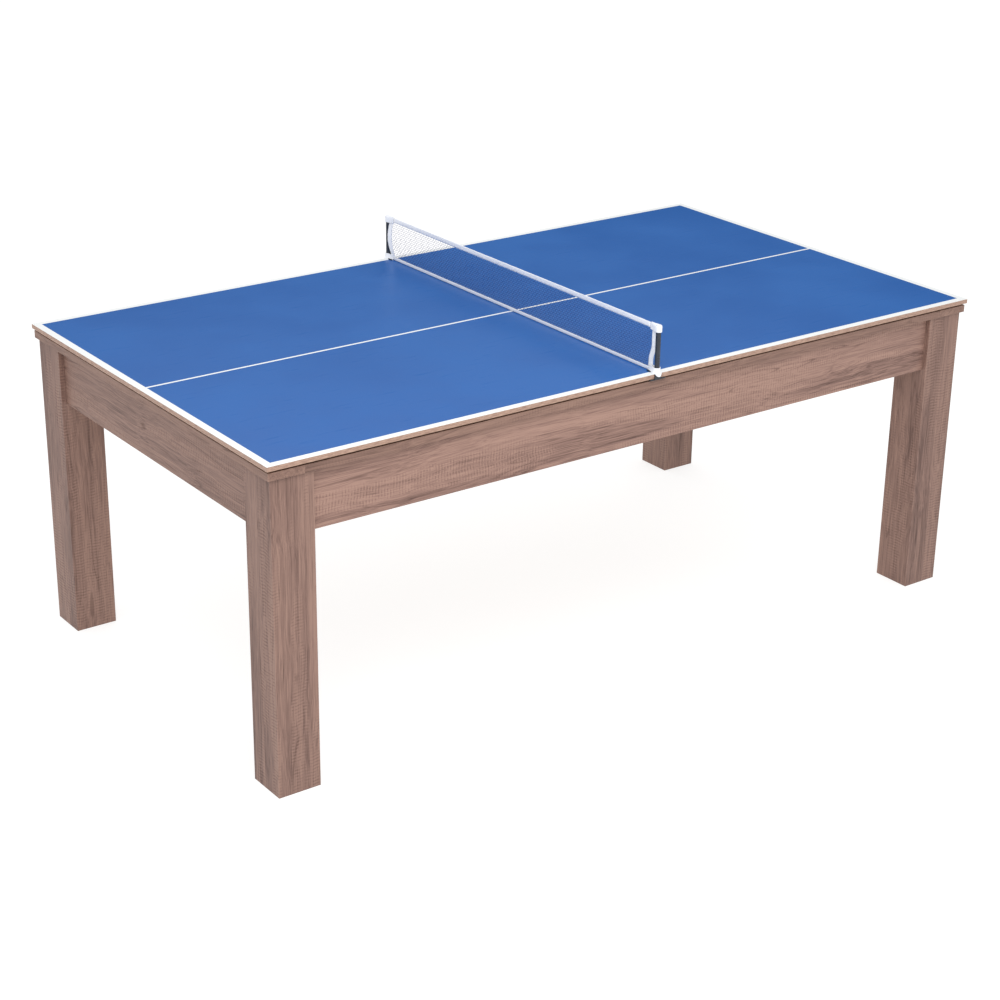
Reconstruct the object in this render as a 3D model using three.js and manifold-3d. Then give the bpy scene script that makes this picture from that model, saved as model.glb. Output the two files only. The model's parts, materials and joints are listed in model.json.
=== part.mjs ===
// A dining-height pool table with a lift-off table-tennis top and a clip-on net.
// Millimetres, +Z up. The origin is on the floor under the middle of the table.
// X runs along the length, Y across it, and the net stands in the plane x = 0.
// "front" is the -Y side, "back" the +Y side, "left" the -X end and "right" the +X end.

import * as THREE from "three";
import { mergeVertices } from "three/addons/utils/BufferGeometryUtils.js";
import Module from "manifold-3d";

// Overall sizes.
const TOP_LENGTH = 2134;
const TOP_WIDTH = 1168;
const TOP_HEIGHT = 813; // the tennis surface above the floor
const FIT = 0.25; // the glue line or clearance left between two pieces that meet
const OVERRUN = 1; // how far a cutting solid runs past what it cuts

// Sides of the round pieces and holes.
const POCKET_SIDES = 48;
const TUBE_SIDES = 32;
const ROD_SIDES = 24;
const DOWEL_SIDES = 20;
const SLEEVE_ARC_STEPS = 20;

// The tennis top: two boards that meet under the net on loose dowels.
const TOP_THICKNESS = 12;
const TOP_GAP = 5; // air between the boards and the rails, held by felt strips
const TOP_SEAM = 0.6;
const DOWEL_RADIUS = 3;
const DOWEL_LENGTH = 40;
const DOWEL_SPACING = 400;
const STRIP_WIDTH = 30;
const STRIP_SET_IN = 10; // from the long rail's outer face
const STRIP_START = 75; // from the net's plane
const STRIP_END_GAP = 65; // from the rail frame's end

// The rail frame, which overhangs the legs and is overhung by the tennis top.
const RAIL_INSET = 4;
const RAIL_THICKNESS = 19;
const END_RAIL_WOOD = 92;
const LONG_RAIL_WOOD = 70;

// Legs and aprons.
const LEG_SIZE = 110;
const LEG_INSET = 12; // from the tennis top's edge
const LEG_WALL = 15;
const LEG_FOOT_BLOCK = 25;
const APRON_THICKNESS = 15;
const APRON_SET_BACK = 13.5; // from the legs' outer faces
const APRON_HEIGHT = 146;
const CORNER_PLATE_THICKNESS = 12;
const CORNER_PLATE_BAND = 45; // how far it wraps past the leg's inner corner, along X and Y
const CORNER_PLATE_LIFT = 3; // above the aprons' lower edge

// Screw-in leg levellers, stored inside the legs.
const LEVELLER_RADIUS = 20;
const LEVELLER_THICKNESS = 6;
const LEVELLER_RECESS_RADIUS = 24;
const LEVELLER_RECESS_DEPTH = 8;
const STEM_RADIUS = 5;
const STEM_CLEARANCE = 0.5;
const STEM_LENGTH = 60;

// The pool bed under the tennis top.
const BED_DEPTH = 37; // from the rails' upper face down to the cloth
const BED_THICKNESS = 18;
const BED_EDGE_GAP = 5;
const CLOTH_THICKNESS = 1;
const BEAM_THICKNESS = 20;
const BEAM_HEIGHT = 72;
const BEAM_SPACING = [230, 640]; // beam centres from the middle of the table
const BATTEN_SIZE = 25;

// Cushions: height of the nose above the cloth for a 50.8 mm ball.
const CUSHION_DEPTH = 50;
const NOSE_HEIGHT = 32;
const NOSE_FACE = 5;
const NOSE_ROUND = 2; // how far the nose's upper edge is set back
const SUBRAIL_DEPTH = 24;
const CORNER_SETBACK = 65; // nose end to the point where two noses would meet
const CORNER_FLARE = 44; // degrees
const SIDE_MOUTH = 96;
const SIDE_FLARE = 14; // degrees

// Pockets: moulded cups with a rim that lies on the rails.
const POCKET_RADIUS = 42.5;
const POCKET_WALL = 2.5;
const POCKET_CLEARANCE = 1;
const POCKET_DEPTH = 102; // from the cloth to the underside of the cup
const POCKET_RIM_WIDTH = 7;
const POCKET_RIM_THICKNESS = 1.5;
const CORNER_POCKET_OFFSET = 19; // beyond the noses' meeting point, both ways
const SIDE_POCKET_OFFSET = 39.5; // beyond the long cushions' nose line
const POCKET_BACK_START = 9; // the collar starts this far in front of the pocket's centre

// Net posts: a bent steel clip with a tube on it, at each end of the net.
const POST_SET_IN = 2; // the tube's axis from the tennis top's edge
const POST_RADIUS = 6.3;
const POST_WALL = 1.15;
const POST_TOP = 120.25; // above the tennis surface
const SPIGOT_HEIGHT = 20;
const CLIP_STEEL = 2.5;
const JAW_WIDTH = 46;
const JAW_REACH = 36;
const ARM_WIDTH = 18;
const ARM_REACH = 29;

// The net: heights are above the tennis surface.
const NET_TOP = 119.5;
const NET_HEADBAND = 12;
const NET_FOOTBAND = 12;
const NET_FOOT_LIFT = 1;
const BAND_THICKNESS = 2.4;
const SIDE_TAPE_WIDTH = 15;
const SIDE_TAPE_THICKNESS = 2.2;
const MESH_THICKNESS = 1;
const HOOD_REACH = 29; // from the post's axis towards the middle
const HOOD_BOTTOM = 96;
const HOOD_CAP = 1.5;
const HOOD_WALL = 1.5;
const HOOD_CLEARANCE = 0.6;
const SLEEVE_WRAP = 15; // degrees that a sleeve's round part runs past a half circle, at each end
const FOOT_LOOP_BOTTOM = 3.25;
const FOOT_LOOP_TOP = 22;
const SEAM_GAP = 0.3; // between the netting and the bands that hold it

// Heights above the floor, worked out from the sizes above.
const topUnderside = TOP_HEIGHT - TOP_THICKNESS;
const railTop = topUnderside - TOP_GAP;
const railBottom = railTop - RAIL_THICKNESS;
const legTop = railBottom - FIT;
const apronBottom = railBottom - APRON_HEIGHT;
const clothTop = railTop - BED_DEPTH;
const bedTop = clothTop - CLOTH_THICKNESS - FIT;
const bedBottom = bedTop - BED_THICKNESS;
const cupBottom = clothTop - POCKET_DEPTH;

// Distances from the middle of the table along X and Y.
const topHalf = new THREE.Vector2(TOP_LENGTH / 2, TOP_WIDTH / 2);
const railOuter = topHalf.clone().subScalar(RAIL_INSET);
const railInner = new THREE.Vector2(railOuter.x - END_RAIL_WOOD, railOuter.y - LONG_RAIL_WOOD);
const nose = railInner.clone().subScalar(CUSHION_DEPTH);
const legOuter = topHalf.clone().subScalar(LEG_INSET);
const legInner = legOuter.clone().subScalar(LEG_SIZE);
const legAxis = legOuter.clone().subScalar(LEG_SIZE / 2);
const apronOuter = legOuter.clone().subScalar(APRON_SET_BACK);
const apronInner = apronOuter.clone().subScalar(APRON_THICKNESS);
const bedHalf = apronInner.clone().subScalar(BED_EDGE_GAP);
const cornerPocket = nose.clone().addScalar(CORNER_POCKET_OFFSET);
const sidePocket = new THREE.Vector2(0, nose.y + SIDE_POCKET_OFFSET);
const cupRadius = POCKET_RADIUS + POCKET_WALL;
const postY = topHalf.y - POST_SET_IN;
const postAxis = new THREE.Vector2(0, postY);
const bandEnd = postY - HOOD_REACH;

const wasm = await Module();
wasm.setup();

// A closed geometry as a manifold-3d solid.
function solid(geometry) {
  const plain = geometry.clone();
  plain.deleteAttribute("normal");
  plain.deleteAttribute("uv");
  const merged = mergeVertices(plain, 1e-4);
  const index = merged.index.array;
  const triVerts = [];
  for (let i = 0; i < index.length; i += 3) {
    const [a, b, c] = [index[i], index[i + 1], index[i + 2]];
    if (a !== b && b !== c && c !== a) triVerts.push(a, b, c);
  }
  return new wasm.Manifold(
    new wasm.Mesh({
      numProp: 3,
      vertProperties: merged.attributes.position.array,
      triVerts: new Uint32Array(triVerts),
    }),
  );
}

// A solid back as a geometry that a mesh can show.
function geometryOf(made) {
  const { vertProperties, triVerts } = made.getMesh();
  const geometry = new THREE.BufferGeometry();
  geometry.setAttribute("position", new THREE.BufferAttribute(vertProperties, 3));
  geometry.setIndex(new THREE.BufferAttribute(triVerts, 1));
  geometry.computeVertexNormals();
  return geometry;
}

// A box from its lowest corner to its highest corner.
function block(low, high) {
  const size = high.map((value, i) => value - low[i]);
  const middle = high.map((value, i) => (value + low[i]) / 2);
  return solid(new THREE.BoxGeometry(...size).translate(...middle));
}

// A box centred on x = 0 and y = 0.
function centredBlock(halfX, halfY, bottom, top) {
  return block([-halfX, -halfY, bottom], [halfX, halfY, top]);
}

// An upright round bar.
function upright(radius, bottom, top, centre, sides) {
  const height = top - bottom;
  const bar = new THREE.CylinderGeometry(radius, radius, height, sides);
  return solid(bar.rotateX(Math.PI / 2).translate(centre.x, centre.y, bottom + height / 2));
}

// A plan outline, as a list of [x, y], made into a plate.
function plate(outline, bottom, top) {
  const shape = new THREE.Shape(outline.map(([x, y]) => new THREE.Vector2(x, y)));
  const raised = new THREE.ExtrudeGeometry(shape, { depth: top - bottom, bevelEnabled: false });
  return solid(raised.translate(0, 0, bottom));
}

// An outline in the YZ plane drawn out along X, or one in the XZ plane drawn out along Y.
function drawnOut(outline, halfLength, alongX) {
  const shape = new THREE.Shape(outline.map(([across, height]) => new THREE.Vector2(across, height)));
  const bar = new THREE.ExtrudeGeometry(shape, { depth: 2 * halfLength, bevelEnabled: false });
  const axes = alongX
    ? [new THREE.Vector3(0, 1, 0), new THREE.Vector3(0, 0, 1), new THREE.Vector3(1, 0, 0)]
    : [new THREE.Vector3(1, 0, 0), new THREE.Vector3(0, 0, 1), new THREE.Vector3(0, -1, 0)];
  return solid(bar.translate(0, 0, -halfLength).applyMatrix4(new THREE.Matrix4().makeBasis(...axes)));
}

// A closed profile of [radius, height] turned about the upright axis through centre.
function turned(profile, centre, sides) {
  const points = profile.map(([radius, height]) => new THREE.Vector2(radius, height));
  const round = new THREE.LatheGeometry(points, sides).rotateX(Math.PI / 2);
  return solid(round.translate(centre.x, centre.y, 0));
}

const FINISHES = {
  driftwood: { color: 0x97796b, roughness: 0.6 },
  railWood: { color: 0xa58672, roughness: 0.55 },
  rawBoard: { color: 0xa98f6f, roughness: 0.85 },
  blueBoard: { color: 0x2f66b4, roughness: 0.45 },
  felt: { color: 0x2b2b2d, roughness: 0.95 },
  cloth: { color: 0x1c6b45, roughness: 0.95 },
  moulded: { color: 0x1a1a1c, roughness: 0.5 },
  beech: { color: 0xc9a673, roughness: 0.7 },
  blackSteel: { color: 0x161719, roughness: 0.4, metalness: 0.3 },
  whiteTape: { color: 0xe9e6ec, roughness: 0.9 },
  netting: { color: 0x5a6796, roughness: 0.9 },
};

// One named piece of the table with a material of its own.
function piece(name, made, finish) {
  const mesh = new THREE.Mesh(geometryOf(made), new THREE.MeshStandardMaterial(FINISHES[finish]));
  mesh.name = name;
  return mesh;
}

// Everything that a pocket passes through gets this bore.
function pocketBore(centre) {
  const bottom = cupBottom - 2 * POCKET_CLEARANCE;
  return upright(cupRadius + POCKET_CLEARANCE, bottom, TOP_HEIGHT, centre, POCKET_SIDES);
}

const pocketBores = [-1, 1].flatMap((sideY) =>
  [-1, 0, 1].map((sideX) => {
    const from = sideX === 0 ? sidePocket : cornerPocket;
    return pocketBore(new THREE.Vector2(sideX * from.x, sideY * from.y));
  }),
);

function cutAll(made, tools) {
  return tools.reduce((left, tool) => left.subtract(tool), made);
}

// The room that the four legs take, with a clearance, cut from whatever lies beside or over them.
const legRooms = [-1, 1].flatMap((sideX) =>
  [-1, 1].map((sideY) => {
    const xs = [sideX * (legInner.x - FIT), sideX * topHalf.x].sort((a, b) => a - b);
    const ys = [sideY * (legInner.y - FIT), sideY * topHalf.y].sort((a, b) => a - b);
    return block([xs[0], ys[0], 0], [xs[1], ys[1], legTop + FIT]);
  }),
);

// Legs are boxes of board, closed by a block at the foot, and cut back for the corner pocket.
function leg() {
  const outside = block([legInner.x, legInner.y, 0], [legOuter.x, legOuter.y, legTop]);
  const hollow = block(
    [legInner.x + LEG_WALL, legInner.y + LEG_WALL, LEG_FOOT_BLOCK],
    [legOuter.x - LEG_WALL, legOuter.y - LEG_WALL, legTop + OVERRUN],
  );
  const recess = upright(LEVELLER_RECESS_RADIUS, -OVERRUN, LEVELLER_RECESS_DEPTH, legAxis, TUBE_SIDES);
  const stemRoom = STEM_RADIUS + STEM_CLEARANCE;
  const stemHole = upright(stemRoom, -OVERRUN, LEG_FOOT_BLOCK + OVERRUN, legAxis, ROD_SIDES);
  return cutAll(outside, [hollow, recess, stemHole, pocketBore(cornerPocket)]);
}

// A plastic disc on a steel stem that screws up into the leg's foot block.
function leveller() {
  const foot = LEVELLER_RECESS_DEPTH - LEVELLER_THICKNESS - 2 * FIT;
  const disc = upright(LEVELLER_RADIUS, foot, foot + LEVELLER_THICKNESS, legAxis, TUBE_SIDES);
  return disc.add(upright(STEM_RADIUS, foot + OVERRUN, foot + STEM_LENGTH, legAxis, ROD_SIDES));
}

// A board screwed into the corner behind each leg, which ties the leg to both aprons.
function cornerPlate() {
  const outer = apronInner.clone().subScalar(FIT);
  const inner = legInner.clone().subScalar(FIT);
  const outline = [
    [inner.x, inner.y],
    [outer.x, inner.y],
    [outer.x, inner.y - (outer.x - inner.x) - CORNER_PLATE_BAND],
    [inner.x - (outer.y - inner.y) - CORNER_PLATE_BAND, outer.y],
    [inner.x, outer.y],
  ];
  const bottom = apronBottom + CORNER_PLATE_LIFT;
  return plate(outline, bottom, bottom + CORNER_PLATE_THICKNESS);
}

// A pocket cup: a closed-bottomed tube with a rim, cut open towards the bed above the cloth.
// The opening faces the direction [-facing.x, -facing.y] from the pocket's centre.
function pocketCup(centre, facing) {
  const rimBottom = railTop + FIT;
  const rimTop = rimBottom + POCKET_RIM_THICKNESS;
  const cup = turned(
    [
      [0, cupBottom],
      [cupRadius, cupBottom],
      [cupRadius, rimBottom],
      [cupRadius + POCKET_RIM_WIDTH, rimBottom],
      [cupRadius + POCKET_RIM_WIDTH, rimTop],
      [POCKET_RADIUS, rimTop],
      [POCKET_RADIUS, cupBottom + POCKET_WALL],
      [0, cupBottom + POCKET_WALL],
    ],
    centre,
    POCKET_SIDES,
  );
  const reach = cupRadius + POCKET_RIM_WIDTH + OVERRUN;
  const window = new THREE.BoxGeometry(2 * reach, reach, BED_DEPTH + TOP_GAP);
  window.translate(0, -reach / 2 - POCKET_BACK_START, 0);
  window.rotateZ(Math.atan2(facing.y, facing.x) - Math.PI / 2);
  window.translate(centre.x, centre.y, clothTop + (BED_DEPTH + TOP_GAP) / 2);
  return cup.subtract(solid(window));
}

function longApron() {
  const apron = block(
    [-legInner.x + FIT, apronInner.y, apronBottom],
    [legInner.x - FIT, apronOuter.y, legTop],
  );
  return apron.subtract(pocketBore(sidePocket));
}

function endApron() {
  return block(
    [apronInner.x, -legInner.y + FIT, apronBottom],
    [apronOuter.x, legInner.y - FIT, legTop],
  );
}

function longRail() {
  const end = railInner.x - FIT;
  const rail = block([-end, railInner.y, railBottom], [end, railOuter.y, railTop]);
  return cutAll(rail, pocketBores);
}

function endRail() {
  const rail = block([railInner.x, -railOuter.y, railBottom], [railOuter.x, railOuter.y, railTop]);
  return cutAll(rail, pocketBores);
}

// The cushion's section, with its nose at noseAt and its back against the rail.
function cushionSection(noseAt) {
  const bottom = clothTop + FIT;
  const nosePoint = clothTop + NOSE_HEIGHT;
  const back = noseAt + CUSHION_DEPTH - FIT;
  return [
    [noseAt, nosePoint - NOSE_FACE / 2],
    [noseAt + CUSHION_DEPTH - SUBRAIL_DEPTH, bottom + NOSE_HEIGHT / 3],
    [noseAt + CUSHION_DEPTH - SUBRAIL_DEPTH, bottom],
    [back, bottom],
    [back, railTop],
    [noseAt + CUSHION_DEPTH - SUBRAIL_DEPTH, railTop],
    [noseAt + NOSE_ROUND, nosePoint + NOSE_FACE / 2],
    [noseAt, nosePoint + NOSE_FACE / 4],
  ];
}

const tangent = (degrees) => Math.tan(THREE.MathUtils.degToRad(degrees));

// A long cushion lies between a side pocket and a corner pocket.
function longCushion() {
  const bar = drawnOut(cushionSection(nose.y), railInner.x, true);
  const cornerEnd = nose.x - CORNER_SETBACK;
  const cornerFlare = CUSHION_DEPTH * tangent(CORNER_FLARE);
  const sideFlare = CUSHION_DEPTH * tangent(SIDE_FLARE);
  const outline = [
    [SIDE_MOUTH / 2, nose.y - OVERRUN],
    [cornerEnd, nose.y - OVERRUN],
    [cornerEnd, nose.y],
    [cornerEnd + cornerFlare, nose.y + CUSHION_DEPTH],
    [SIDE_MOUTH / 2 - sideFlare, nose.y + CUSHION_DEPTH],
    [SIDE_MOUTH / 2, nose.y],
  ];
  const ends = plate(outline, clothTop - OVERRUN, railTop + OVERRUN);
  return cutAll(bar.intersect(ends), [...pocketBores, ...legRooms]);
}

function endCushion() {
  const bar = drawnOut(cushionSection(nose.x), railInner.y, false);
  const noseEnd = nose.y - CORNER_SETBACK;
  const flare = CUSHION_DEPTH * tangent(CORNER_FLARE);
  const outline = [
    [nose.x - OVERRUN, -noseEnd],
    [nose.x, -noseEnd],
    [nose.x + CUSHION_DEPTH, -noseEnd - flare],
    [nose.x + CUSHION_DEPTH, noseEnd + flare],
    [nose.x, noseEnd],
    [nose.x - OVERRUN, noseEnd],
  ];
  const ends = plate(outline, clothTop - OVERRUN, railTop + OVERRUN);
  return cutAll(bar.intersect(ends), [...pocketBores, ...legRooms]);
}

// The bed's outline, used for the board and for the cloth over it.
function bedLayer(bottom, top) {
  const layer = centredBlock(bedHalf.x, bedHalf.y, bottom, top);
  return cutAll(layer, [...legRooms, ...pocketBores]);
}

function crossBeam(atX) {
  const halfY = apronInner.y - FIT;
  const top = bedBottom - FIT;
  return block(
    [atX - BEAM_THICKNESS / 2, -halfY, top - BEAM_HEIGHT],
    [atX + BEAM_THICKNESS / 2, halfY, top],
  );
}

function endBatten() {
  const outer = apronInner.x - FIT;
  const halfY = legInner.y - FIT;
  const top = bedBottom - FIT;
  return block([outer - BATTEN_SIZE, -halfY, top - BATTEN_SIZE], [outer, halfY, top]);
}

// A pin lying along X across the seam, or the hole for it.
function dowel(radius, halfLength, atY) {
  const bar = new THREE.CylinderGeometry(radius, radius, 2 * halfLength, DOWEL_SIDES);
  return solid(bar.rotateZ(Math.PI / 2).translate(0, atY, TOP_HEIGHT - TOP_THICKNESS / 2));
}

const dowelPlaces = [-DOWEL_SPACING, 0, DOWEL_SPACING];

function tennisBoard(side) {
  const xs = [side * (TOP_SEAM / 2), side * topHalf.x].sort((a, b) => a - b);
  const board = block([xs[0], -topHalf.y, topUnderside], [xs[1], topHalf.y, TOP_HEIGHT]);
  const holes = dowelPlaces.map((y) => dowel(DOWEL_RADIUS + FIT, DOWEL_LENGTH / 2 + FIT, y));
  return cutAll(board, holes);
}

// Felt glued under a board, which rests on a long rail.
function feltStrip() {
  const outer = railOuter.y - STRIP_SET_IN;
  return block(
    [STRIP_START, outer - STRIP_WIDTH, railTop + FIT],
    [railOuter.x - STRIP_END_GAP, outer, topUnderside - FIT],
  );
}

// The clip grips the boards' edge: a wide jaw in the gap, a web outside and a narrow arm on top.
function netClip() {
  const edge = topHalf.y + FIT;
  const jawTop = topUnderside - FIT;
  const armBottom = TOP_HEIGHT + FIT;
  const armTop = armBottom + CLIP_STEEL;
  const jaw = block(
    [-JAW_WIDTH / 2, topHalf.y - JAW_REACH, jawTop - CLIP_STEEL],
    [JAW_WIDTH / 2, edge + CLIP_STEEL, jawTop],
  );
  const outerTop = [ARM_WIDTH / 2, edge + CLIP_STEEL, armTop];
  const web = block([-ARM_WIDTH / 2, edge, jawTop - CLIP_STEEL], outerTop);
  const arm = block([-ARM_WIDTH / 2, topHalf.y - ARM_REACH, armBottom], outerTop);
  const spigotRadius = POST_RADIUS - POST_WALL - FIT;
  const spigot = upright(spigotRadius, armTop - OVERRUN, armTop + SPIGOT_HEIGHT, postAxis, ROD_SIDES);
  return jaw.add(web).add(arm).add(spigot);
}

function postTube() {
  const bottom = TOP_HEIGHT + CLIP_STEEL + 2 * FIT;
  const top = TOP_HEIGHT + POST_TOP;
  const outside = upright(POST_RADIUS, bottom, top, postAxis, TUBE_SIDES);
  const inside = upright(POST_RADIUS - POST_WALL, bottom - OVERRUN, top + OVERRUN, postAxis, TUBE_SIDES);
  return outside.subtract(inside);
}

// The plan outline of a sewn sleeve: round about the post, tapering to the band's thickness.
function sleeveOutline() {
  const radius = POST_RADIUS + HOOD_CLEARANCE + HOOD_WALL;
  const half = BAND_THICKNESS / 2;
  const arc = Array.from({ length: SLEEVE_ARC_STEPS + 1 }, (_, i) => {
    const share = i / SLEEVE_ARC_STEPS;
    const angle = THREE.MathUtils.degToRad(share * (180 + 2 * SLEEVE_WRAP) - SLEEVE_WRAP);
    return [radius * Math.cos(angle), postY + radius * Math.sin(angle)];
  });
  return [[half, bandEnd], ...arc, [-half, bandEnd]];
}

// A sleeve with a bore for the post, which stops at boreTop or runs right through.
function sleeve(bottom, top, boreTop = top + OVERRUN) {
  const bore = upright(POST_RADIUS + HOOD_CLEARANCE, bottom - OVERRUN, boreTop, postAxis, TUBE_SIDES);
  return plate(sleeveOutline(), bottom, top).subtract(bore);
}

// A band of tape across the table with a sleeve for each post at its ends.
function sleevedBand(bandBottom, bandTop, sleeveMade) {
  const bottom = TOP_HEIGHT + bandBottom;
  const top = TOP_HEIGHT + bandTop;
  const band = centredBlock(BAND_THICKNESS / 2, bandEnd + OVERRUN, bottom, top);
  return band.add(sleeveMade).add(sleeveMade.mirror([0, 1, 0]));
}

function headband() {
  const boreTop = TOP_HEIGHT + POST_TOP + FIT;
  const hood = sleeve(TOP_HEIGHT + HOOD_BOTTOM, boreTop + HOOD_CAP, boreTop);
  return sleevedBand(NET_TOP - NET_HEADBAND, NET_TOP, hood);
}

function footband() {
  const loop = sleeve(TOP_HEIGHT + FOOT_LOOP_BOTTOM, TOP_HEIGHT + FOOT_LOOP_TOP);
  return sleevedBand(NET_FOOT_LIFT, NET_FOOT_LIFT + NET_FOOTBAND, loop);
}

const meshBottom = TOP_HEIGHT + NET_FOOT_LIFT + NET_FOOTBAND + SEAM_GAP;
const meshTop = TOP_HEIGHT + NET_TOP - NET_HEADBAND - SEAM_GAP;

function netting() {
  const halfY = bandEnd - SIDE_TAPE_WIDTH / 2 - SEAM_GAP;
  return centredBlock(MESH_THICKNESS / 2, halfY, meshBottom, meshTop);
}

// A side tape hems the netting's end between the two bands, clear of the sleeves.
function sideTape() {
  const half = SIDE_TAPE_THICKNESS / 2;
  const outer = bandEnd + SIDE_TAPE_WIDTH / 2;
  const low = TOP_HEIGHT + FOOT_LOOP_TOP + SEAM_GAP;
  const high = TOP_HEIGHT + HOOD_BOTTOM - SEAM_GAP;
  const inner = bandEnd - SIDE_TAPE_WIDTH / 2;
  const wide = block([-half, inner, low], [half, outer, high]);
  const narrow = block([-half, inner, meshBottom], [half, bandEnd - SEAM_GAP, meshTop]);
  return wide.add(narrow);
}

// Puts pieces made for the back right corner, side or end in one of its mirrored places.
function mirrored(group, sideX, sideY, ...meshes) {
  const place = new THREE.Group();
  place.scale.set(sideX, sideY, 1);
  place.add(...meshes);
  group.add(place);
}

const table = new THREE.Group();
const ENDS = [["left", -1], ["right", 1]];
const SIDES = [["front", -1], ["back", 1]];

for (const [side, sideY] of SIDES) {
  for (const [end, sideX] of ENDS) {
    mirrored(
      table,
      sideX,
      sideY,
      piece(`leg_${side}_${end}`, leg(), "driftwood"),
      piece(`leveller_${side}_${end}`, leveller(), "moulded"),
      piece(`corner_plate_${side}_${end}`, cornerPlate(), "rawBoard"),
      piece(`pocket_${side}_${end}`, pocketCup(cornerPocket, new THREE.Vector2(1, 1)), "moulded"),
      piece(`cushion_${side}_${end}`, longCushion(), "cloth"),
      piece(`felt_strip_${side}_${end}`, feltStrip(), "felt"),
    );
  }
  mirrored(
    table,
    1,
    sideY,
    piece(`apron_${side}`, longApron(), "driftwood"),
    piece(`rail_${side}`, longRail(), "railWood"),
    piece(`pocket_${side}_middle`, pocketCup(sidePocket, new THREE.Vector2(0, 1)), "moulded"),
    piece(`net_clip_${side}`, netClip(), "blackSteel"),
    piece(`net_post_${side}`, postTube(), "blackSteel"),
    piece(`net_side_tape_${side}`, sideTape(), "whiteTape"),
  );
}

for (const [end, sideX] of ENDS) {
  mirrored(
    table,
    sideX,
    1,
    piece(`apron_${end}`, endApron(), "driftwood"),
    piece(`rail_${end}`, endRail(), "railWood"),
    piece(`cushion_${end}`, endCushion(), "cloth"),
    piece(`bed_batten_${end}`, endBatten(), "rawBoard"),
  );
  table.add(piece(`tennis_top_${end}`, tennisBoard(sideX), "blueBoard"));
  BEAM_SPACING.forEach((distance, i) => {
    table.add(piece(`cross_beam_${end}_${i + 1}`, crossBeam(sideX * distance), "rawBoard"));
  });
}

table.add(
  piece("bed_board", bedLayer(bedBottom, bedTop), "rawBoard"),
  piece("bed_cloth", bedLayer(bedTop + FIT, clothTop), "cloth"),
  piece("net_headband", headband(), "whiteTape"),
  piece("net_footband", footband(), "whiteTape"),
  piece("net_mesh", netting(), "netting"),
);

dowelPlaces.forEach((y, i) => {
  table.add(piece(`top_dowel_${i + 1}`, dowel(DOWEL_RADIUS, DOWEL_LENGTH / 2, y), "beech"));
});

export default table;
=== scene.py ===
import json
import math

import bmesh
import bpy
from mathutils import Euler, Matrix, Vector, noise


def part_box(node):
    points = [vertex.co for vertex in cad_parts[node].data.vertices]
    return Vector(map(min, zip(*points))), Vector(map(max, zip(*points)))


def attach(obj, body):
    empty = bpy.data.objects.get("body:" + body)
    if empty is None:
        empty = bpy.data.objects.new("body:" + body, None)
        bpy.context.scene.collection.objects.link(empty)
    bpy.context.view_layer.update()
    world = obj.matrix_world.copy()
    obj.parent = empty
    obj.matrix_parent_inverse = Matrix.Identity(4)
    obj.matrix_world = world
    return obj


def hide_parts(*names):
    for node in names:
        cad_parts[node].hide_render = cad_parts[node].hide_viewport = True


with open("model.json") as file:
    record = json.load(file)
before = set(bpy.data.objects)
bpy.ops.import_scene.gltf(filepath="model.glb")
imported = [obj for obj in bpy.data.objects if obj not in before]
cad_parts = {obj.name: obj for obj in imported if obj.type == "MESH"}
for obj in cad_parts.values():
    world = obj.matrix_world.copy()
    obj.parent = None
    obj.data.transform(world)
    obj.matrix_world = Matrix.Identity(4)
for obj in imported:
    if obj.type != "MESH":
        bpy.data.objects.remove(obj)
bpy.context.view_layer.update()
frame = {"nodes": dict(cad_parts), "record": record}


# ---- Legs ---------------------------------------------------------------------------------
# Each leg is a square box of fibreboard, mitred at its corners and wrapped in a printed foil
# that shows grey-brown driftwood with its grain running upwards. The foil is rubbed a little
# lighter along the sharp corners.

FOILED_EDGE = 0.0008
FLAT_ANGLE = math.radians(1)
EDGE_ANGLE = math.radians(30)
MERGE = 1e-5
SIDES = ("front", "back")
ENDS = ("left", "right")


def put(tree, kind, inputs=None, **settings):
    """Adds a node. An input given as a socket is linked, and any other value is set."""
    made = tree.nodes.new(kind)
    for name, value in settings.items():
        setattr(made, name, value)
    for key, value in (inputs or {}).items():
        if isinstance(value, bpy.types.NodeSocket):
            tree.links.new(value, made.inputs[key])
        else:
            made.inputs[key].default_value = value
    return made


def calc(tree, operation, *values):
    """One Math node's result."""
    return put(tree, "ShaderNodeMath", dict(enumerate(values)), operation=operation).outputs[0]


def ramp(tree, value, low, high, start=0.0, end=1.0):
    """value carried smoothly from start, at low, to end, at high."""
    inputs = {0: value, 1: low, 2: high, 3: start, 4: end}
    return put(tree, "ShaderNodeMapRange", inputs, interpolation_type="SMOOTHSTEP").outputs[0]


def grain_noise(tree, place, stretch, detail=2.0, roughness=0.5):
    """Noise with its own frequency, in cycles a metre, along each axis."""
    scaled = put(tree, "ShaderNodeVectorMath", {0: place, 1: stretch}, operation="MULTIPLY").outputs[0]
    inputs = {"Vector": scaled, "Scale": 1.0, "Detail": detail, "Roughness": roughness}
    return put(tree, "ShaderNodeTexNoise", inputs).outputs["Fac"]


def mixed(tree, share, first, second, blend="MIX"):
    """Two colours mixed by share."""
    inputs = {0: share, 6: first, 7: second}
    return put(tree, "ShaderNodeMix", inputs, data_type="RGBA", blend_type=blend).outputs[2]


def effect(name, inputs, outputs):
    """A shader node group: its tree, the values that come in and the sockets that go out."""
    group = bpy.data.node_groups.new(name, "ShaderNodeTree")
    kinds = {"vector": "NodeSocketVector", "colour": "NodeSocketColor", "value": "NodeSocketFloat"}
    for label, kind in inputs.items():
        group.interface.new_socket(label, in_out="INPUT", socket_type=kinds[kind])
    for label, kind in outputs.items():
        group.interface.new_socket(label, in_out="OUTPUT", socket_type=kinds[kind])
    coming_in = group.nodes.new("NodeGroupInput").outputs
    going_out = group.nodes.new("NodeGroupOutput").inputs
    return group, coming_in, going_out


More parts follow.
